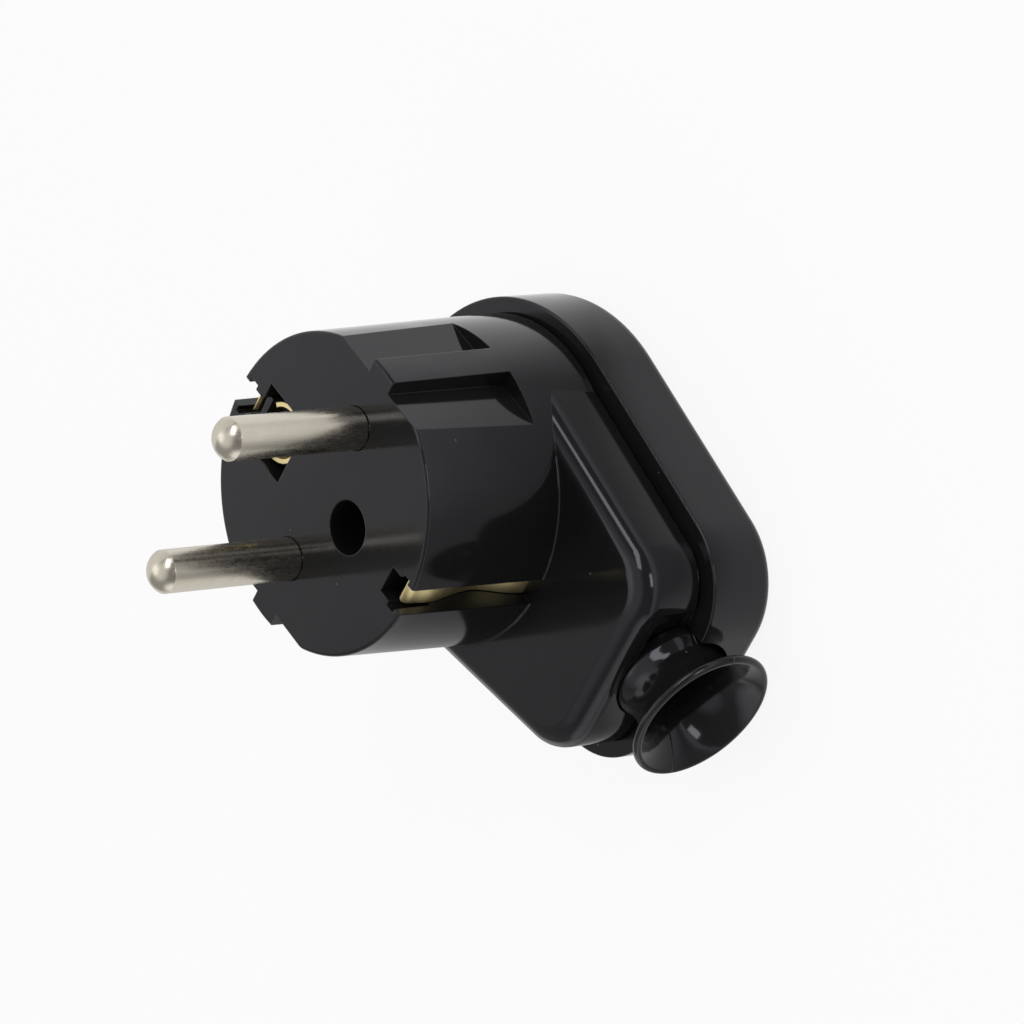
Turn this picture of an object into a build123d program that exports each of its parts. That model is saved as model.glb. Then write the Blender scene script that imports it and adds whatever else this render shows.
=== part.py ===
from build123d import *
import math
import os

# Right-angle earthed plug with two round pins and two side earth contacts.
# Millimetres. The pins point to +Z, the cable leaves toward -Y, and the flat
# back of the rear cover lies on z = 0, midway between the pins at x = y = 0.

# Pins
PIN_SPACING = 19.0
PIN_DIAMETER = 4.8
PIN_LENGTH = 19.0
PIN_DOME = 1.5
PIN_RELIEF_DIAMETER = 4.3
PIN_RELIEF_ABOVE_FACE = 0.1
PIN_BARREL_DIAMETER = 6.8
PIN_BARREL_LENGTH = 11.3
PIN_WIRE_HOLE = 3.2
PIN_WIRE_HOLE_FROM_END = 5.0
PIN_THREAD_DEPTH = 6.8
PIN_BOSS_WALL = 1.4
PIN_BOSS_LENGTH = 4.2

# Neck and engagement face
FACE_DIAMETER = 35.5
FACE_RIM_ROUND = 0.35
FACE_WALL = 3.2
NECK_LENGTH = 18.4
NECK_DRAFT = 1.25
NECK_FOOT_ROUND = 0.2

# Guide recesses on the two sides next to the pins
GUIDE_DEPTH = 1.75
GUIDE_RIB = 3.9
GUIDE_LENGTH = 16.35
GUIDE_WALL = 2.1

# Earth channels and the window in the face
CHANNEL_WIDTH = 3.5
CHANNEL_DEPTH = 4.05
CHANNEL_WALL = 1.3
SLOT_WIDTH = 4.7
SLOT_FROM_RIM = 1.1
SLOT_THICKNESS = 1.3
SLOT_LENGTH = 5.0
WINDOW_WIDTH = 8.1
WINDOW_POCKET_DEPTH = 16.0
BRIDGE_WIDTH = 4.0
BRIDGE_THICKNESS = 0.9
BRIDGE_FROM_RIM = 3.55
BRIDGE_DROP = 1.0

# Foot of the housing
FOOT_DEPTH = 8.0
FOOT_TAPER = 8.9
FOOT_END = 32.2
FOOT_CORNER = 6.6
FOOT_EDGE_ROUND = 2.5
FOOT_WALL = 2.4
FOOT_INSIDE_NECK = 0.06
LIP_THICKNESS = 0.75
LIP_DEPTH = 2.0

# Rear cover
COVER_DEPTH = 8.9
COVER_OVERHANG = 2.0
COVER_END_OVERHANG = 2.4
COVER_CORNER = 10.0
COVER_BACK_ROUND = 1.5
COVER_RIM_ROUND = 0.25
COVER_FLOOR = 2.2
SEAT_HEIGHT = 0.7
SEAT_WIDTH = 0.8

# Cable outlet and guard
CABLE_HEIGHT = 8.8
CABLE_BORE = 7.8
COLLAR_DIAMETER = 12.4
GUARD_GROOVE_WALL = 0.9
GUARD_FLANGE = 1.6
GUARD_NECK_DIAMETER = 11.6
BELL_RIM_DIAMETER = 17.2
BELL_BEAD = 1.0
BELL_REACH = 7.3
BELL_FLARE = 60.0
OUTLET_RIB = 1.6
NOTCH_SIDE = 8.85
NOTCH_HEIGHT = 5.0
NOTCH_DEPTH = 1.3
NOTCH_ROUND = 0.8

# Assembly screw, its column and its insert
SCREW_FROM_AXIS = 5.5
SCREW_HOLE = 6.04
SCREW_HOLE_DEPTH = 16.0
SCREW_POCKET = 5.4
SCREW_POCKET_DEPTH = 2.6
COLUMN_WALL = 1.9
SPIGOT_DIAMETER = 8.4
SPIGOT_PAST_STRIP = 0.2
ASSEMBLY_SHANK = 3.7
ASSEMBLY_HEAD = 5.0
INSERT_DIAMETER = 5.6
INSERT_LENGTH = 8.0
INSERT_SUNK = 0.3
INSERT_BOSS_WALL = 1.6

# Earth contact
STRIP_THICKNESS = 0.5
STRIP_WIDTH = 3.3
STRIP_BELOW_CEILING = 1.0
BASE_WIDTH = 4.4
RING_WIDTH = 2.8
ARM_ROOT_FROM_RIM = 1.6
ARM_WAIST_FROM_RIM = 2.85
ARM_WAIST_FROM_FACE = 11.8
ARM_CONTACT_FROM_RIM = 1.7
ARM_CONTACT_FROM_FACE = 4.3
CURL_SETBACK = 0.15
CURL_RADIUS = 1.2
CURL_ANGLE = 65.0
CURL_FROM_FACE = 1.25
CURL_CORNER = 0.5

# Earth socket: a rolled tube that takes the earth pin of some wall sockets
SOCKET_FROM_AXIS = 10.0
SOCKET_DIAMETER = 5.8
SOCKET_SLOT_ANGLE = 72.0
SOCKET_DROP = 1.0
SOCKET_LENGTH = 13.0
RISER_OVERLAP = 3.0

# Earth terminal
EARTH_SCREW_FROM_AXIS = 3.1
EARTH_SHANK = 3.2
EARTH_HEAD = 5.8
EARTH_NUT_SIDE = 6.0
EARTH_NUT_HEIGHT = 3.0
WASHER_DIAMETER = 6.4
WASHER_THICKNESS = 0.8

# Pin terminal screws
PIN_SCREW_SHANK = 2.8
PIN_SCREW_HEAD = 5.9
PIN_SCREW_LENGTH = 3.0

# Cord clamp
CLAMP_FROM_AXIS = 20.0
CLAMP_WIDTH = 6.0
CLAMP_SIDE_GAP = 0.9
CLAMP_SCREW_FROM_END = 2.7
CLAMP_BOSS = 5.2
CLAMP_SEAT_ABOVE_CABLE = 0.2
CLAMP_EAR = 2.6
CLAMP_ARCH_WALL = 1.6
CLAMP_SHANK = 2.5
CLAMP_HEAD = 5.0
CLAMP_SCREW_LENGTH = 7.4

# Screw heads and fits
HEAD_HEIGHT = 2.0
HEAD_ROUND = 0.5
DRIVE_WIDTH = 0.9
DRIVE_DEPTH = 1.1
PIN_FIT = 0.06
THREAD_FIT = 0.1
SLIDE_FIT = 0.2

# Heights that follow from the sizes above
seat_z = COVER_DEPTH + SEAT_HEIGHT
foot_front_z = seat_z + FOOT_DEPTH
face_z = foot_front_z + NECK_LENGTH
face_back_z = face_z - FACE_WALL
ceiling_z = foot_front_z - FOOT_WALL
strip_top_z = ceiling_z - STRIP_BELOW_CEILING
strip_bottom_z = strip_top_z - STRIP_THICKNESS
column_end_z = strip_bottom_z - SPIGOT_PAST_STRIP
screw_shelf_z = face_z - SCREW_HOLE_DEPTH
insert_top_z = column_end_z - INSERT_SUNK
insert_bottom_z = insert_top_z - INSERT_LENGTH
barrel_end_z = face_back_z - PIN_BARREL_LENGTH
clamp_seat_z = CABLE_HEIGHT + CLAMP_SEAT_ABOVE_CABLE
notch_top_z = seat_z + NOTCH_HEIGHT

# Widths that follow
face_radius = FACE_DIAMETER / 2
pin_x = PIN_SPACING / 2
guide_flat = face_radius - GUIDE_DEPTH
channel_floor = face_radius - CHANNEL_DEPTH
slot_far = face_radius - SLOT_FROM_RIM
slot_near = slot_far - SLOT_THICKNESS
bridge_far = face_radius - BRIDGE_FROM_RIM
bridge_near = bridge_far - BRIDGE_THICKNESS
arm_root = face_radius - ARM_ROOT_FROM_RIM
arm_waist = face_radius - ARM_WAIST_FROM_RIM
arm_contact = face_radius - ARM_CONTACT_FROM_RIM
cavity_radius = guide_flat - GUIDE_WALL
cavity_flat = channel_floor - CHANNEL_WALL
socket_inside = SOCKET_DIAMETER / 2
socket_outside = socket_inside + STRIP_THICKNESS
window_near = SOCKET_FROM_AXIS - socket_outside - SLIDE_FIT
outlet_radius = COLLAR_DIAMETER / 2 + SLIDE_FIT
groove_radius = CABLE_BORE / 2 + GUARD_GROOVE_WALL
rib_radius = groove_radius + SLIDE_FIT
rib_inside = FOOT_END - FOOT_WALL
rib_outside = rib_inside + OUTLET_RIB
column_radius = SCREW_HOLE / 2 + COLUMN_WALL
half_strip = STRIP_THICKNESS / 2
UP = (Align.CENTER, Align.CENTER, Align.MIN)
DOWN = (Align.CENTER, Align.CENTER, Align.MAX)


def neck_radius(z):
    return face_radius + (face_z - z) * math.tan(math.radians(NECK_DRAFT))


foot_radius = neck_radius(foot_front_z) - FOOT_INSIDE_NECK


def foot_inside(distance):
    """Half the width inside the foot, at a distance from the pins toward the cable end."""
    taper = math.radians(FOOT_TAPER)
    return (foot_radius - FOOT_WALL - distance * math.sin(taper)) / math.cos(taper)


clamp_half_span = foot_inside(CLAMP_FROM_AXIS + CLAMP_WIDTH / 2) - CLAMP_SIDE_GAP
clamp_screw_x = clamp_half_span - CLAMP_SCREW_FROM_END


def block(x, y, z):
    """Box between two limits along each axis."""
    size = Box(x[1] - x[0], y[1] - y[0], z[1] - z[0], align=(Align.MIN,) * 3)
    return Pos(x[0], y[0], z[0]) * size


def round_bar(x, y, diameter, low, high):
    """Upright cylinder between two heights."""
    return Pos(x, y, low) * Cylinder(diameter / 2, high - low, align=UP)


def cable_bar(radius, near, far):
    """Cylinder on the cable's axis, between two distances toward -Y."""
    bar = Cylinder(radius, far - near, align=UP)
    return Pos(0, -near, CABLE_HEIGHT) * Rot(90, 0, 0) * bar


def teardrop(radius, end, corner):
    """Outline with a round end, sides that taper to the cable end and round corners."""
    taper = math.radians(FOOT_TAPER)
    normal = Vector(math.cos(taper), -math.sin(taper))
    centre_y = corner - end
    centre_x = (radius - corner + centre_y * math.sin(taper)) / math.cos(taper)
    centre = Vector(centre_x, centre_y)
    middle = -(math.pi / 2 + taper) / 2
    head = (math.pi / 2 - taper) / 2
    with BuildSketch() as outline:
        with BuildLine():
            ThreePointArc((0, radius), (radius * math.cos(head), radius * math.sin(head)), normal * radius)
            Line(normal * radius, centre + normal * corner)
            bend = centre + Vector(math.cos(middle), math.sin(middle)) * corner
            ThreePointArc(centre + normal * corner, bend, (centre_x, -end))
            Line((centre_x, -end), (0, -end))
            mirror(about=Plane.YZ)
        make_face()
    return outline.sketch


def foot_outline(inset):
    return teardrop(foot_radius - inset, FOOT_END - inset, FOOT_CORNER - inset)


def slab(outline, low, high):
    return extrude(Pos(0, 0, low) * outline, high - low)


def slotted_screw(shank, length, head):
    """Screw with its head above z = 0 and its shank below."""
    top = Cylinder(head / 2, HEAD_HEIGHT, align=UP)
    top = fillet(top.edges().sort_by(Axis.Z)[-1], HEAD_ROUND)
    drive = Pos(0, 0, HEAD_HEIGHT) * Box(head, DRIVE_WIDTH, 2 * DRIVE_DEPTH)
    return top - drive + Cylinder(shank / 2, length, align=DOWN)


def guide_cutter():
    """One pair of guide recesses: a flat from the face to a square end, with the rib left between them."""
    outside = FACE_DIAMETER
    whole = block((guide_flat, outside), (-outside, outside), (face_z - GUIDE_LENGTH, face_z + 1))
    rib = Box(4 * outside, GUIDE_RIB, 4 * face_z)
    return whole - rib


def earth_cutters():
    """Earth channels, the grooves beside them and the ways for the arms into the foot."""
    half = CHANNEL_WIDTH / 2
    groove = SLOT_WIDTH / 2
    way = STRIP_WIDTH / 2 + SLIDE_FIT
    way_near = arm_root - half_strip - SLIDE_FIT
    way_far = arm_root + half_strip + SLIDE_FIT
    outside = FACE_DIAMETER
    top = face_z + 1
    cutters = [
        block((-half, half), (bridge_far, outside), (foot_front_z, top)),
        block((-half, half), (-outside, -channel_floor), (foot_front_z, top)),
    ]
    for near, far in ((slot_near, slot_far), (-slot_far, -slot_near)):
        cutters.append(block((-groove, groove), (near, far), (face_z - SLOT_LENGTH, top)))
    for near, far in ((way_near, way_far), (-way_far, -way_near)):
        cutters.append(block((-way, way), (near, far), (seat_z - LIP_DEPTH, foot_front_z + 1)))
    cutters.append(block((-way, way), (cavity_flat, way_far), (seat_z - LIP_DEPTH, ceiling_z)))
    return cutters


def notch_cutter():
    """Notch for a screwdriver beside the cable outlet, open to the rear."""
    low = seat_z - LIP_DEPTH - 1
    box = block((0, NOTCH_SIDE), (-FOOT_END - 2, NOTCH_DEPTH - FOOT_END), (low, notch_top_z))
    corner = box.edges().filter_by(Axis.Y).sort_by(lambda edge: edge.center().X + edge.center().Z)[-1]
    return fillet(corner, NOTCH_ROUND)


def neck_foot_fillet():
    """Small round in the corner between the neck and the flat front of the foot."""
    low = foot_front_z
    high = foot_front_z + NECK_FOOT_ROUND
    inside = neck_radius(high) - 1
    outside = neck_radius(low) + NECK_FOOT_ROUND
    with BuildSketch(Plane.XZ) as profile:
        with BuildLine():
            Polyline((outside, low), (inside, low), (inside, high), (neck_radius(high), high))
            TangentArc((outside, low), (neck_radius(high), high), tangent=(-1, 0))
        make_face()
    return revolve(profile.sketch, Axis.Z) & slab(foot_outline(FOOT_EDGE_ROUND), low, high)


def front_housing():
    neck = Cone(neck_radius(seat_z), neck_radius(face_z), face_z - seat_z, align=UP)
    neck = fillet(neck.edges().sort_by(Axis.Z)[-1], FACE_RIM_ROUND)
    foot = slab(foot_outline(0), seat_z, foot_front_z)
    foot = fillet(foot.edges().group_by(Axis.Z)[-1], FOOT_EDGE_ROUND)
    body = Pos(0, 0, seat_z) * neck + foot + neck_foot_fillet()
    lip_low = seat_z - LIP_DEPTH
    body += slab(foot_outline(FOOT_WALL - LIP_THICKNESS), lip_low, ceiling_z)

    cavity = Circle(cavity_radius) & Rectangle(2 * cavity_radius, 2 * cavity_flat)
    body -= slab(foot_outline(FOOT_WALL), lip_low, ceiling_z)
    body -= slab(cavity, ceiling_z, face_back_z)

    boss = PIN_BARREL_DIAMETER + 2 * (PIN_FIT + PIN_BOSS_WALL)
    screw_y = -SCREW_FROM_AXIS
    body += round_bar(0, screw_y, 2 * column_radius, strip_top_z, face_back_z)
    body += round_bar(0, screw_y, SPIGOT_DIAMETER, column_end_z, strip_top_z)
    body -= round_bar(0, screw_y, SCREW_HOLE, screw_shelf_z + SCREW_POCKET_DEPTH, face_z)
    body -= round_bar(0, screw_y, SCREW_POCKET, screw_shelf_z, face_z)
    body -= round_bar(0, screw_y, ASSEMBLY_SHANK + 2 * SLIDE_FIT, column_end_z, face_z)
    for side in (-1, 1):
        barrel = PIN_BARREL_DIAMETER + 2 * PIN_FIT
        body += round_bar(side * pin_x, 0, boss, face_back_z - PIN_BOSS_LENGTH, face_back_z)
        body -= round_bar(side * pin_x, 0, barrel, barrel_end_z, face_back_z)
        body -= round_bar(side * pin_x, 0, PIN_DIAMETER + 2 * PIN_FIT, barrel_end_z, face_z)
        clamp_x = side * clamp_screw_x
        clamp_top = clamp_seat_z + CLAMP_SCREW_LENGTH - CLAMP_EAR
        body += round_bar(clamp_x, -CLAMP_FROM_AXIS, CLAMP_BOSS, clamp_seat_z, ceiling_z)
        body -= round_bar(clamp_x, -CLAMP_FROM_AXIS, CLAMP_SHANK + 2 * THREAD_FIT, clamp_seat_z, clamp_top)

    half_window = WINDOW_WIDTH / 2
    half_bridge = BRIDGE_WIDTH / 2
    bridge_z = face_z - BRIDGE_DROP
    half_slot = math.radians(SOCKET_SLOT_ANGLE / 2)
    pocket_far = SOCKET_FROM_AXIS + socket_outside * math.cos(half_slot) + SLIDE_FIT
    pocket_low = face_z - WINDOW_POCKET_DEPTH
    body -= block((-half_window, half_window), (window_near, channel_floor), (face_back_z, face_z))
    body -= block((-half_window, half_window), (SOCKET_FROM_AXIS, pocket_far), (pocket_low, face_back_z))
    body -= earth_cutters()
    body -= block((-half_bridge, half_bridge), (bridge_near, bridge_far), (bridge_z, face_z))
    body += block((-half_bridge, half_bridge), (bridge_near, bridge_far), (face_back_z, bridge_z))

    guide = guide_cutter()
    body -= [guide, guide.mirror(Plane.YZ)]
    body -= cable_bar(outlet_radius, rib_outside, FOOT_END + 2)
    body -= cable_bar(rib_radius, rib_inside - 1, FOOT_END)
    body -= notch_cutter()
    return body


def cover_outline():
    return teardrop(foot_radius + COVER_OVERHANG, FOOT_END + COVER_END_OVERHANG, COVER_CORNER)


def rear_cover():
    body = slab(cover_outline(), 0, COVER_DEPTH)
    body = fillet(body.edges().group_by(Axis.Z)[0], COVER_BACK_ROUND)
    body = fillet(body.edges().group_by(Axis.Z)[-1], COVER_RIM_ROUND)
    inside = FOOT_WALL - LIP_THICKNESS - SLIDE_FIT
    body += slab(foot_outline(inside - SEAT_WIDTH), COVER_FLOOR, seat_z)
    body -= slab(foot_outline(inside), COVER_FLOOR, seat_z)

    pocket = INSERT_DIAMETER + 2 * THREAD_FIT
    body += round_bar(0, -SCREW_FROM_AXIS, pocket + 2 * INSERT_BOSS_WALL, COVER_FLOOR, column_end_z)
    body -= round_bar(0, -SCREW_FROM_AXIS, pocket, insert_bottom_z, column_end_z)

    far = FOOT_END + COVER_END_OVERHANG + 1
    return body - [cable_bar(outlet_radius, rib_outside, far), cable_bar(rib_radius, rib_inside - 1, far)]


def cable_guard():
    """Soft guard turned about the cable: captured flange, groove, round collar, neck and flared bell."""
    bore = CABLE_BORE / 2
    collar = COLLAR_DIAMETER / 2
    neck = GUARD_NECK_DIAMETER / 2
    bead = BELL_BEAD / 2
    play = SLIDE_FIT / 4
    flange_out = rib_inside - play
    flange_in = flange_out - GUARD_FLANGE
    collar_in = rib_outside + play
    flare = math.radians(BELL_FLARE)
    across = Vector(math.cos(flare), math.sin(flare))
    bead_centre = Vector(BELL_RIM_DIAMETER / 2 - bead, bead - FOOT_END - BELL_REACH)
    inner_end = bead_centre - across * bead
    outer_end = bead_centre + across * bead
    bore_end = inner_end.Y + (inner_end.X - bore) / math.tan(flare / 2)
    neck_end = outer_end.Y + (outer_end.X - neck) / math.tan(flare / 2)
    with BuildSketch() as profile:
        with BuildLine():
            Spline((collar, -FOOT_END), (neck, neck_end), tangents=((0, -1), (0, -1)))
            Polyline(
                (collar, -FOOT_END),
                (collar, -collar_in),
                (groove_radius, -collar_in),
                (groove_radius, -flange_out),
                (collar, -flange_out),
                (collar, -flange_in),
                (bore, -flange_in),
                (bore, bore_end),
            )
            TangentArc((bore, bore_end), inner_end, tangent=(0, -1))
            Line(inner_end, outer_end)
            TangentArc((neck, neck_end), outer_end, tangent=(0, -1))
        make_face()
        with Locations(bead_centre):
            Circle(bead)
    return Pos(0, 0, CABLE_HEIGHT) * revolve(profile.sketch, Axis.Y)


def contact_pin(side):
    """Round pin with a domed tip and, behind the face, a barrel that takes a conductor and its screw."""
    radius = PIN_DIAMETER / 2
    relief = PIN_RELIEF_DIAMETER / 2
    barrel = PIN_BARREL_DIAMETER / 2
    relief_z = face_z + PIN_RELIEF_ABOVE_FACE
    tip_z = face_z + PIN_LENGTH
    dome_z = tip_z - PIN_DOME
    with BuildSketch(Plane.XZ) as profile:
        with BuildLine():
            Polyline(
                (0, tip_z),
                (0, barrel_end_z),
                (barrel, barrel_end_z),
                (barrel, face_back_z),
                (relief, face_back_z),
                (relief, relief_z),
                (radius, relief_z),
                (radius, dome_z),
            )
            TangentArc((0, tip_z), (radius, dome_z), tangent=(1, 0))
        make_face()
    pin = revolve(profile.sketch, Axis.Z)
    pin -= round_bar(0, 0, PIN_SCREW_SHANK + 2 * THREAD_FIT, barrel_end_z, barrel_end_z + PIN_THREAD_DEPTH)
    wire_z = barrel_end_z + PIN_WIRE_HOLE_FROM_END
    pin -= Pos(0, 0, wire_z) * Rot(90, 0, 0) * Cylinder(PIN_WIRE_HOLE / 2, 2 * PIN_BARREL_DIAMETER)
    return Pos(side * pin_x, 0, 0) * pin


def earth_arm():
    """Sprung arm in the +Y channel: upright root, bowed waist, contact and a tip curled inward."""
    waist_z = face_z - ARM_WAIST_FROM_FACE
    contact_z = face_z - ARM_CONTACT_FROM_FACE
    curl_start = arm_contact - CURL_SETBACK
    curl_z = face_z - CURL_FROM_FACE - CURL_RADIUS * math.sin(math.radians(CURL_ANGLE))
    curl_y = curl_start + half_strip - CURL_RADIUS
    curl_inner = CURL_RADIUS - STRIP_THICKNESS
    with BuildSketch(Plane.YZ) as profile:
        with BuildLine():
            sides = []
            for offset in (half_strip, -half_strip):
                root = (arm_root + offset, foot_front_z)
                waist = (arm_waist + offset, waist_z)
                contact = (arm_contact + offset, contact_z)
                Line((arm_root + offset, strip_bottom_z), root)
                Spline(root, waist, contact, (curl_start + offset, curl_z), tangents=((0, 1), (0, 1)))
                radius = CURL_RADIUS if offset > 0 else curl_inner
                sides.append(CenterArc((curl_y, curl_z), radius, 0, CURL_ANGLE))
            Line(sides[0] @ 1, sides[1] @ 1)
            Line((arm_root + half_strip, strip_bottom_z), (arm_root - half_strip, strip_bottom_z))
        make_face()
    arm = extrude(profile.sketch, STRIP_WIDTH / 2, both=True)
    across = arm.edges().filter_by(lambda edge: abs(edge.length - STRIP_THICKNESS) < SLIDE_FIT)
    return fillet(across.sort_by(Axis.Z)[-2:], CURL_CORNER)


def earth_socket():
    """Rolled tube with a slot toward +Y, on a riser that stands on the base."""
    centre = (0, SOCKET_FROM_AXIS)
    top = face_z - SOCKET_DROP
    low = top - SOCKET_LENGTH
    start = 90 + SOCKET_SLOT_ANGLE / 2
    sweep = 360 - SOCKET_SLOT_ANGLE
    with BuildSketch() as plan:
        with BuildLine():
            outer = CenterArc(centre, socket_outside, start, sweep)
            inner = CenterArc(centre, socket_inside, start, sweep)
            Line(outer @ 0, inner @ 0)
            Line(outer @ 1, inner @ 1)
        make_face()
    near = SOCKET_FROM_AXIS - socket_outside
    half_riser = STRIP_WIDTH / 2
    riser_z = (strip_bottom_z, low + RISER_OVERLAP)
    riser = block((-half_riser, half_riser), (near, near + STRIP_THICKNESS), riser_z)
    bore = round_bar(0, SOCKET_FROM_AXIS, SOCKET_DIAMETER, low, top)
    return slab(plan.sketch, low, top) + (riser - bore)


def earth_contact():
    """One brass stamping: a base with a ring round the screw column, two arms and a socket on a riser."""
    arm = earth_arm()
    half_base = BASE_WIDTH / 2
    half_arm = STRIP_WIDTH / 2
    base_z = (strip_bottom_z, strip_top_z)
    body = block((-half_base, half_base), (-cavity_flat, cavity_flat), base_z)
    body += block((-half_arm, half_arm), (-arm_root, arm_root), base_z)
    hole = SPIGOT_DIAMETER + 2 * SLIDE_FIT
    body += round_bar(0, -SCREW_FROM_AXIS, hole + 2 * RING_WIDTH, strip_bottom_z, strip_top_z)
    body -= round_bar(0, -SCREW_FROM_AXIS, hole, strip_bottom_z, strip_top_z)
    tapped = EARTH_SHANK + 2 * THREAD_FIT
    body -= round_bar(0, EARTH_SCREW_FROM_AXIS, tapped, strip_bottom_z, strip_top_z)
    return body + [arm, arm.mirror(Plane.XZ), earth_socket()]


def earth_nut():
    side = EARTH_NUT_SIDE / 2
    y = EARTH_SCREW_FROM_AXIS
    nut = block((-side, side), (y - side, y + side), (strip_top_z, strip_top_z + EARTH_NUT_HEIGHT))
    return nut - round_bar(0, y, EARTH_SHANK + 2 * THREAD_FIT, strip_top_z, strip_top_z + EARTH_NUT_HEIGHT)


def earth_washer():
    low = strip_bottom_z - WASHER_THICKNESS
    washer = round_bar(0, EARTH_SCREW_FROM_AXIS, WASHER_DIAMETER, low, strip_bottom_z)
    return washer - round_bar(0, EARTH_SCREW_FROM_AXIS, EARTH_SHANK + 2 * SLIDE_FIT, low, strip_bottom_z)


def earth_screw():
    length = WASHER_THICKNESS + STRIP_THICKNESS + EARTH_NUT_HEIGHT
    screw = slotted_screw(EARTH_SHANK, length, EARTH_HEAD)
    return Pos(0, EARTH_SCREW_FROM_AXIS, strip_bottom_z - WASHER_THICKNESS) * Rot(180, 0, 0) * screw


def pin_screw(side):
    screw = slotted_screw(PIN_SCREW_SHANK, PIN_SCREW_LENGTH, PIN_SCREW_HEAD)
    return Pos(side * pin_x, 0, barrel_end_z) * Rot(180, 0, 0) * screw


def cord_clamp():
    """Saddle under the cable, with an ear on each side for a screw."""
    near = CLAMP_FROM_AXIS - CLAMP_WIDTH / 2
    far = CLAMP_FROM_AXIS + CLAMP_WIDTH / 2
    inner = CABLE_BORE / 2 + SLIDE_FIT
    body = block((-clamp_half_span, clamp_half_span), (-far, -near), (clamp_seat_z - CLAMP_EAR, clamp_seat_z))
    arch = cable_bar(inner + CLAMP_ARCH_WALL, near, far)
    body += arch - block((-clamp_half_span, clamp_half_span), (-far, -near), (clamp_seat_z, face_z))
    body -= cable_bar(inner, near, far)
    for side in (-1, 1):
        x = side * clamp_screw_x
        hole = CLAMP_SHANK + 2 * SLIDE_FIT
        body -= round_bar(x, -CLAMP_FROM_AXIS, hole, clamp_seat_z - CLAMP_EAR, clamp_seat_z)
    return body


def cord_clamp_screw(side):
    length = CLAMP_SCREW_LENGTH - 2 * SLIDE_FIT
    screw = slotted_screw(CLAMP_SHANK, length, CLAMP_HEAD)
    x = side * clamp_screw_x
    return Pos(x, -CLAMP_FROM_AXIS, clamp_seat_z - CLAMP_EAR) * Rot(180, 0, 0) * screw


def assembly_screw():
    length = screw_shelf_z - insert_bottom_z - 2 * SLIDE_FIT
    return Pos(0, -SCREW_FROM_AXIS, screw_shelf_z) * slotted_screw(ASSEMBLY_SHANK, length, ASSEMBLY_HEAD)


def threaded_insert():
    hole = ASSEMBLY_SHANK + 2 * THREAD_FIT
    body = round_bar(0, -SCREW_FROM_AXIS, INSERT_DIAMETER, insert_bottom_z, insert_top_z)
    return body - round_bar(0, -SCREW_FROM_AXIS, hole, insert_bottom_z, insert_top_z)


nodes = {
    "front_housing": front_housing(),
    "rear_cover": rear_cover(),
    "cable_guard": cable_guard(),
    "pin_left": contact_pin(-1),
    "pin_right": contact_pin(1),
    "pin_screw_left": pin_screw(-1),
    "pin_screw_right": pin_screw(1),
    "earth_contact": earth_contact(),
    "earth_nut": earth_nut(),
    "earth_washer": earth_washer(),
    "earth_screw": earth_screw(),
    "cord_clamp": cord_clamp(),
    "cord_clamp_screw_left": cord_clamp_screw(-1),
    "cord_clamp_screw_right": cord_clamp_screw(1),
    "assembly_screw": assembly_screw(),
    "threaded_insert": threaded_insert(),
}

os.makedirs("parts", exist_ok=True)
for name, shape in nodes.items():
    export_step(shape, f"parts/{name}.step")
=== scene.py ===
import math

import bpy
from mathutils import Matrix, Vector

# Camera that matches the photograph: angles in degrees, place in metres, sensor and lens in millimetres
VIEW_AZIMUTH = 45.487
VIEW_ELEVATION = 41.074
VIEW_ROLL = -95.691
VIEW_RANGE = 0.63717
VIEW_TARGET = Vector((0.006755, -0.012233, 0.020634))
SENSOR_WIDTH = 36.0
LENS = 206.37

# Black plastic: refraction, tint of its gloss, rounding of its edges in metres and colour
PLASTIC_IOR = 1.43
PLASTIC_GLOSS_TINT = (0.92, 0.93, 1.0, 1.0)
PLASTIC_EDGE = 0.00014
BLACK = (0.0052, 0.0052, 0.0060)

# Haze on the plastic: scale and detail of its noise, and how far it turns the black to the dust's grey
HAZE_NOISE = (90.0, 5.0)
HAZE_PALE = 0.08

# Ripples in the plastic: scale and detail of their noise, and height in metres
RIPPLE_NOISE = (260.0, 2.0)
RIPPLE_HEIGHT = 0.0002

# Dust on the plastic: colour, cells per metre, core and edge of a speck in cells, and added roughness
DUST_GREY = (0.10, 0.10, 0.10)
DUST_SCALE = 260.0
DUST_CORE = 0.02
DUST_SIZE = 0.035
DUST_ROUGH = 0.3

# Mould line along the cable guard, in metres: height of the cable's axis, half width and depth
CABLE_HEIGHT = 0.0088
SEAM_HALF_WIDTH = 0.0001
SEAM_DEPTH = 0.00012

# Metal: rounding of its edges and height of its grain, in metres
METAL_EDGE = 0.00008
GRAIN_HEIGHT = 0.00003

# Noise in the metal's colour, polish and grain: scale and detail, and the span of the polish that counts
CLOUD_NOISE = (420.0, 4.0)
POLISH_NOISE = (2600.0, 3.0)
POLISH_SPAN = (0.3, 0.7)
GRAIN_NOISE = (7000.0, 2.0)

# Drawing out of the grain: none, or along the pins
NO_STRETCH = (1.0, 1.0, 1.0)
PIN_STRETCH = (1.0, 1.0, 0.35)

# Samples for the rounding of an edge
EDGE_SAMPLES = 6

# Plastics: lowest and highest roughness, and strength of the ripples
HOUSING_BLACK = (0.07, 0.13, 0.03)
GUARD_BLACK = (0.08, 0.14, 0.04)
CLAMP_BLACK = (0.40, 0.60, 0.10)

# Metals: darkest and lightest colour, lowest and highest roughness, and strength of the grain
NICKEL = ((0.58, 0.54, 0.45), (0.69, 0.64, 0.55), 0.23, 0.31, 0.05)
BRASS = ((0.86, 0.72, 0.36), (0.94, 0.80, 0.45), 0.40, 0.50, 0.04)
ZINC = ((0.50, 0.50, 0.50), (0.64, 0.64, 0.65), 0.30, 0.42, 0.20)

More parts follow.
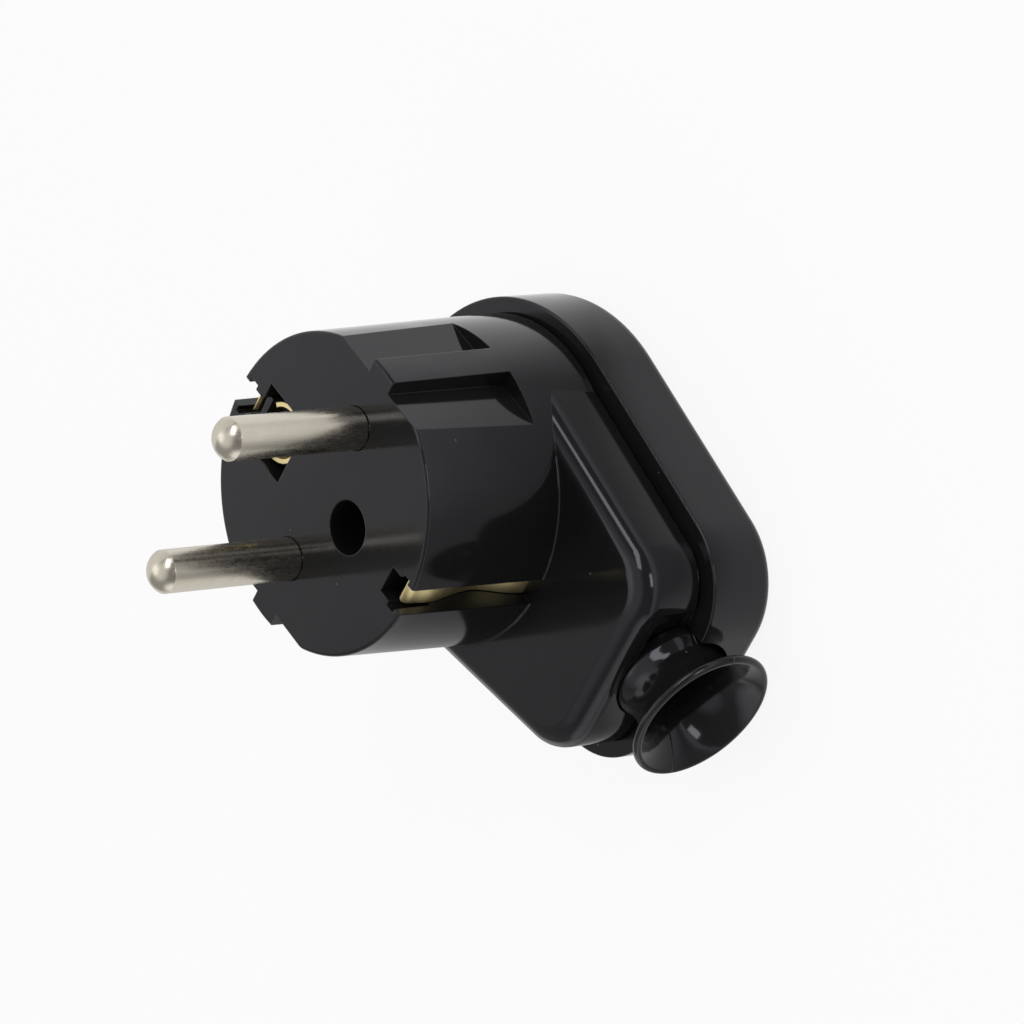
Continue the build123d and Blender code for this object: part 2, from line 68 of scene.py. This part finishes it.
# Floor: width and drop in metres, colour, glow for the camera and the share of glow in what is seen
FLOOR_WIDTH = 6.0
FLOOR_DROP = 0.0002
FLOOR_COLOUR = (0.86, 0.86, 0.86, 1.0)
FLOOR_GLOW = 1.0
FLOOR_GLOW_SHARE = 0.90

# The floor's glow in mirrors, painted as rings around the plug with painted shade near it: their size and
# the glow at each distance
RING_CENTRE = (0.0, -0.009, 0.0)
RING_SIZE = (0.020, 0.030, 1.0)
RINGS = ((1.0, 0.80), (1.25, 0.72), (1.5, 0.30), (2.0, 0.40), (2.4, 0.50), (2.7, 0.70), (3.5, 0.78))
RINGS_REACH = 4.0

# Painted bright ground in mirrors, behind the plug as far as its right side, in front of it and far to its
# left:
# direction, start, full and glow
GROUND_BEHIND = ((-0.35, 1.0, 0.0), -0.020, 0.009, 1.0)
GROUND_RIGHT = ((1.0, 0.0, 0.0), -0.040, -0.019, 1.0)
GROUND_FRONT = ((0.88, -0.47, 0.0), 0.030, 0.072, 1.0)
GROUND_LEFT = ((-0.8, -0.6, 0.0), 0.049, 0.060, 0.9)

# Sky: its colour, its bright and its dark level, and where along a direction the dark starts and is full
SKY_COLOUR = (1.0, 1.0, 1.0, 1.0)
SKY_BRIGHT = 0.36
SKY_DARK = 0.22
SKY_DARK_SIDE = (0.85, -0.50, 0.10)
SKY_DARK_START = -0.45
SKY_DARK_FULL = 0.80

# Bright wall, ceiling, panel and card in the sky: direction, start, full and glow
SKY_WALL = ((0.0, 1.0, 0.0), 0.49, 0.57, 0.5)
SKY_CEILING = ((0.0, 0.0, 1.0), 0.72, 0.90, 0.50)
SKY_PANEL = ((-0.20, 0.40, 0.89), 0.92, 0.98, 0.70)
SKY_CARD = ((-0.66, -0.75, 0.05), 0.86, 0.96, 0.90)

# Lamps: place and direction of the long side, size in metres, power in watts
HIGH_LAMP = ((0.70, 0.06, 0.58), (-0.40, -0.72, 0.57), (0.62, 0.26), 2.0)
LOW_LAMP = ((0.58, -0.55, 0.12), (0.69, 0.72, 0.0), (0.30, 0.17), 0.7)

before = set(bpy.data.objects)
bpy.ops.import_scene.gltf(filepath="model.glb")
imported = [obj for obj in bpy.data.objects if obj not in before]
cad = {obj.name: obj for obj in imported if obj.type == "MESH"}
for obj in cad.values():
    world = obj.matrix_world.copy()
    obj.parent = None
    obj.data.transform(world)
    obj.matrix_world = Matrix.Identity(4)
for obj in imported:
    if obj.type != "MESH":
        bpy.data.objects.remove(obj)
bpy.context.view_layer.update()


def new_material(name):
    """Material with its node tree and its shader."""
    material = bpy.data.materials.new(name)
    material.use_nodes = True
    tree = material.node_tree
    return material, tree, tree.nodes["Principled BSDF"]


def add_noise(tree, scale, detail, stretch=NO_STRETCH):
    """Noise that follows the part's own coordinates, drawn out where stretch is small."""
    place = tree.nodes.new("ShaderNodeTexCoord")
    mapping = tree.nodes.new("ShaderNodeMapping")
    mapping.inputs["Scale"].default_value = stretch
    noise = tree.nodes.new("ShaderNodeTexNoise")
    noise.inputs["Scale"].default_value = scale
    noise.inputs["Detail"].default_value = detail
    tree.links.new(place.outputs["Object"], mapping.inputs["Vector"])
    tree.links.new(mapping.outputs["Vector"], noise.inputs["Vector"])
    return noise.outputs["Fac"]


def add_range(tree, value, low, high, start=0.0, stop=1.0):
    """Spread a value over a new range."""
    spread = tree.nodes.new("ShaderNodeMapRange")
    spread.inputs["From Min"].default_value = start
    spread.inputs["From Max"].default_value = stop
    spread.inputs["To Min"].default_value = low
    spread.inputs["To Max"].default_value = high
    tree.links.new(value, spread.inputs["Value"])
    return spread.outputs["Result"]


def add_math(tree, operation, first, second):
    """Combine two values, each of them a number or the output of a node."""
    math_node = tree.nodes.new("ShaderNodeMath")
    math_node.operation = operation
    for socket, value in zip(math_node.inputs, (first, second)):
        if isinstance(value, (int, float)):
            socket.default_value = value
        else:
            tree.links.new(value, socket)
    return math_node.outputs[0]


def add_along(tree, coordinates, direction):
    """How far a point lies along a direction."""
    place = tree.nodes.new("ShaderNodeTexCoord")
    along = tree.nodes.new("ShaderNodeVectorMath")
    along.operation = "DOT_PRODUCT"
    along.inputs[1].default_value = direction
    tree.links.new(place.outputs[coordinates], along.inputs[0])
    return along.outputs["Value"]


def add_rise(tree, coordinates, direction, start, full, glow):
    """Glow that rises from 0 to its full level along a direction."""
    return add_range(tree, add_along(tree, coordinates, direction), 0.0, glow, start, full)


def add_edge(tree, radius):
    """Normals that make sharp edges look rounded."""
    bevel = tree.nodes.new("ShaderNodeBevel")
    bevel.samples = EDGE_SAMPLES
    bevel.inputs["Radius"].default_value = radius
    return bevel.outputs["Normal"]


def add_bump(tree, normal, height, strength, distance):
    """Fine relief on top of the given normals."""
    bump = tree.nodes.new("ShaderNodeBump")
    bump.inputs["Strength"].default_value = strength
    bump.inputs["Distance"].default_value = distance
    tree.links.new(height, bump.inputs["Height"])
    tree.links.new(normal, bump.inputs["Normal"])
    return bump.outputs["Normal"]


def tint(tree, value, dark, light):
    """Blend between two colours by a value between 0 and 1."""
    mix = tree.nodes.new("ShaderNodeMix")
    mix.data_type = "RGBA"
    mix.inputs["A"].default_value = (*dark, 1.0)
    mix.inputs["B"].default_value = (*light, 1.0)
    tree.links.new(value, mix.inputs["Factor"])
    return mix.outputs["Result"]


def add_dust(tree):
    """Sparse specks, 1 on a speck and 0 elsewhere."""
    place = tree.nodes.new("ShaderNodeTexCoord")
    cells = tree.nodes.new("ShaderNodeTexVoronoi")
    cells.inputs["Scale"].default_value = DUST_SCALE
    tree.links.new(place.outputs["Object"], cells.inputs["Vector"])
    return add_range(tree, cells.outputs["Distance"], 1.0, 0.0, DUST_CORE, DUST_SIZE)


def add_seam(tree, height):
    """Fine mould line at one height, 0 on the line and 1 elsewhere."""
    above = add_math(tree, "SUBTRACT", add_along(tree, "Object", (0.0, 0.0, 1.0)), height)
    away = add_math(tree, "ABSOLUTE", above, 0.0)
    return add_range(tree, away, 0.0, 1.0, 0.0, SEAM_HALF_WIDTH)


def glossy_black(name, rough_low, rough_high, ripple, seam=None):
    """Moulded black plastic: a deep gloss with faint ripples, haze and dust."""
    material, tree, shader = new_material(name)
    haze = add_noise(tree, *HAZE_NOISE)
    dust = add_dust(tree)
    pale = add_math(tree, "MAXIMUM", add_range(tree, haze, 0.0, HAZE_PALE), dust)
    haze_rough = add_range(tree, haze, rough_low, rough_high)
    dust_rough = add_range(tree, dust, 0.0, DUST_ROUGH)
    rough = add_math(tree, "ADD", haze_rough, dust_rough)
    normal = add_edge(tree, PLASTIC_EDGE)
    normal = add_bump(tree, normal, add_noise(tree, *RIPPLE_NOISE), ripple, RIPPLE_HEIGHT)
    if seam is not None:
        normal = add_bump(tree, normal, add_seam(tree, seam), 1.0, SEAM_DEPTH)
    tree.links.new(tint(tree, pale, BLACK, DUST_GREY), shader.inputs["Base Color"])
    tree.links.new(rough, shader.inputs["Roughness"])
    tree.links.new(normal, shader.inputs["Normal"])
    shader.inputs["IOR"].default_value = PLASTIC_IOR
    shader.inputs["Specular Tint"].default_value = PLASTIC_GLOSS_TINT
    return material


def plated_metal(name, dark, light, rough_low, rough_high, grain, stretch=NO_STRETCH):
    """Plated or stamped metal with a fine grain and uneven polish."""
    material, tree, shader = new_material(name)
    cloud = add_noise(tree, *CLOUD_NOISE)
    polish = add_noise(tree, *POLISH_NOISE, stretch)
    rough = add_range(tree, polish, rough_low, rough_high, *POLISH_SPAN)
    normal = add_edge(tree, METAL_EDGE)
    normal = add_bump(tree, normal, add_noise(tree, *GRAIN_NOISE, stretch), grain, GRAIN_HEIGHT)
    tree.links.new(tint(tree, cloud, dark, light), shader.inputs["Base Color"])
    tree.links.new(rough, shader.inputs["Roughness"])
    tree.links.new(normal, shader.inputs["Normal"])
    shader.inputs["Metallic"].default_value = 1.0
    return material


# Materials of the plug, with zinc for the screws and the washer
housing_black = glossy_black("housing_black", *HOUSING_BLACK)
guard_black = glossy_black("guard_black", *GUARD_BLACK, CABLE_HEIGHT)
clamp_black = glossy_black("clamp_black", *CLAMP_BLACK)
nickel = plated_metal("nickel", *NICKEL, PIN_STRETCH)
brass = plated_metal("brass", *BRASS)
zinc = plated_metal("zinc", *ZINC)

finish = {
    "front_housing": housing_black,
    "rear_cover": housing_black,
    "cable_guard": guard_black,
    "cord_clamp": clamp_black,
    "pin_left": nickel,
    "pin_right": nickel,
    "earth_contact": brass,
    "earth_nut": brass,
    "threaded_insert": brass,
}
for name, node in cad.items():
    node.data.materials.clear()
    node.data.materials.append(finish.get(name, zinc))


def add_painted_mirror_glow(tree):
    """Painted glow of the floor as mirrors show it: painted shade as dark rings near the plug and painted
    bright ground on three sides.
    """
    place = tree.nodes.new("ShaderNodeTexCoord")
    mapping = tree.nodes.new("ShaderNodeMapping")
    mapping.vector_type = "TEXTURE"
    mapping.inputs["Location"].default_value = RING_CENTRE
    mapping.inputs["Scale"].default_value = RING_SIZE
    reach = tree.nodes.new("ShaderNodeVectorMath")
    reach.operation = "LENGTH"
    ramp = tree.nodes.new("ShaderNodeValToRGB")
    stops = ramp.color_ramp.elements
    while len(stops) < len(RINGS):
        stops.new(0.5)
    for stop, (distance, level) in zip(stops, RINGS):
        stop.position = distance / RINGS_REACH
        stop.color = (level, level, level, 1.0)
    tree.links.new(place.outputs["Object"], mapping.inputs["Vector"])
    tree.links.new(mapping.outputs["Vector"], reach.inputs[0])
    tree.links.new(add_math(tree, "DIVIDE", reach.outputs["Value"], RINGS_REACH), ramp.inputs["Fac"])
    right = add_rise(tree, "Object", *GROUND_RIGHT)
    behind = add_math(tree, "MINIMUM", add_rise(tree, "Object", *GROUND_BEHIND), right)
    front = add_rise(tree, "Object", *GROUND_FRONT)
    left = add_rise(tree, "Object", *GROUND_LEFT)
    glow = ramp.outputs["Color"]
    for area in (behind, front, left):
        glow = add_math(tree, "MAXIMUM", glow, area)
    return glow


def add_floor():
    """Pale floor that the camera sees as white, with a soft shadow under the plug and a painted glow that
    only mirrors show.
    """
    bpy.ops.mesh.primitive_plane_add(size=FLOOR_WIDTH, location=(0, 0, -FLOOR_DROP))
    floor = bpy.context.object
    floor.name = "floor"
    material = bpy.data.materials.new("floor_white")
    material.use_nodes = True
    tree = material.node_tree
    tree.nodes.clear()
    rays = tree.nodes.new("ShaderNodeLightPath")
    seen = rays.outputs["Is Camera Ray"]
    mirrored = add_math(tree, "MAXIMUM", rays.outputs["Is Glossy Ray"], rays.outputs["Is Transmission Ray"])
    share = add_math(tree, "MULTIPLY", add_math(tree, "MAXIMUM", seen, mirrored), FLOOR_GLOW_SHARE)
    seen_glow = add_math(tree, "MULTIPLY", seen, FLOOR_GLOW)
    # Painted shade in rings near the plug and painted bright ground, seen only in mirrors
    mirrored_glow = add_math(tree, "MULTIPLY", mirrored, add_painted_mirror_glow(tree))
    matt = tree.nodes.new("ShaderNodeBsdfDiffuse")
    matt.inputs["Color"].default_value = FLOOR_COLOUR
    glow = tree.nodes.new("ShaderNodeEmission")
    tree.links.new(add_math(tree, "MAXIMUM", seen_glow, mirrored_glow), glow.inputs["Strength"])
    mix = tree.nodes.new("ShaderNodeMixShader")
    tree.links.new(share, mix.inputs["Fac"])
    tree.links.new(matt.outputs[0], mix.inputs[1])
    tree.links.new(glow.outputs[0], mix.inputs[2])
    output = tree.nodes.new("ShaderNodeOutputMaterial")
    tree.links.new(mix.outputs[0], output.inputs["Surface"])
    floor.data.materials.append(material)


def add_softbox(name, place, long_way, size, power):
    """Long soft lamp that faces the plug."""
    light = bpy.data.lights.new(name, "AREA")
    light.shape = "RECTANGLE"
    light.size, light.size_y = size
    light.energy = power
    place = Vector(place)
    back = (place - VIEW_TARGET).normalized()
    short = back.cross(Vector(long_way)).normalized()
    turn = Matrix((short.cross(back), short, back)).transposed()
    lamp = bpy.data.objects.new(name, light)
    lamp.matrix_world = Matrix.Translation(place) @ turn.to_4x4()
    bpy.context.scene.collection.objects.link(lamp)


def add_camera():
    """Camera at the photograph's viewing angle."""
    azimuth = math.radians(VIEW_AZIMUTH)
    elevation = math.radians(VIEW_ELEVATION)
    roll = math.radians(VIEW_ROLL)
    forward = Vector((
        -math.sin(azimuth) * math.cos(elevation),
        math.cos(azimuth) * math.cos(elevation),
        -math.sin(elevation),
    ))
    level = Vector((math.cos(azimuth), math.sin(azimuth), 0.0))
    upright = level.cross(forward)
    right = level * math.cos(roll) + upright * math.sin(roll)
    up = right.cross(forward)
    data = bpy.data.cameras.new("camera")
    data.sensor_width = SENSOR_WIDTH
    data.lens = LENS
    camera = bpy.data.objects.new("camera", data)
    turn = Matrix((right, up, -forward)).transposed()
    camera.matrix_world = Matrix.Translation(VIEW_TARGET - forward * VIEW_RANGE) @ turn.to_4x4()
    bpy.context.scene.collection.objects.link(camera)
    bpy.context.scene.camera = camera


def add_world():
    """Grey studio that is darker on one side, with a bright wall, ceiling, panel and card."""
    world = bpy.data.worlds.new("studio")
    world.use_nodes = True
    tree = world.node_tree
    background = tree.nodes["Background"]
    background.inputs["Color"].default_value = SKY_COLOUR
    side = add_along(tree, "Generated", SKY_DARK_SIDE)
    strength = add_range(tree, side, SKY_BRIGHT, SKY_DARK, SKY_DARK_START, SKY_DARK_FULL)
    for area in (SKY_WALL, SKY_CEILING, SKY_PANEL, SKY_CARD):
        strength = add_math(tree, "ADD", strength, add_rise(tree, "Generated", *area))
    tree.links.new(strength, background.inputs["Strength"])
    bpy.context.scene.world = world


# Floor, sky, lamps and camera
add_floor()
add_world()
add_softbox("softbox_high", *HIGH_LAMP)
add_softbox("softbox_low", *LOW_LAMP)
add_camera()
bpy.context.scene.view_settings.view_transform = "Standard"
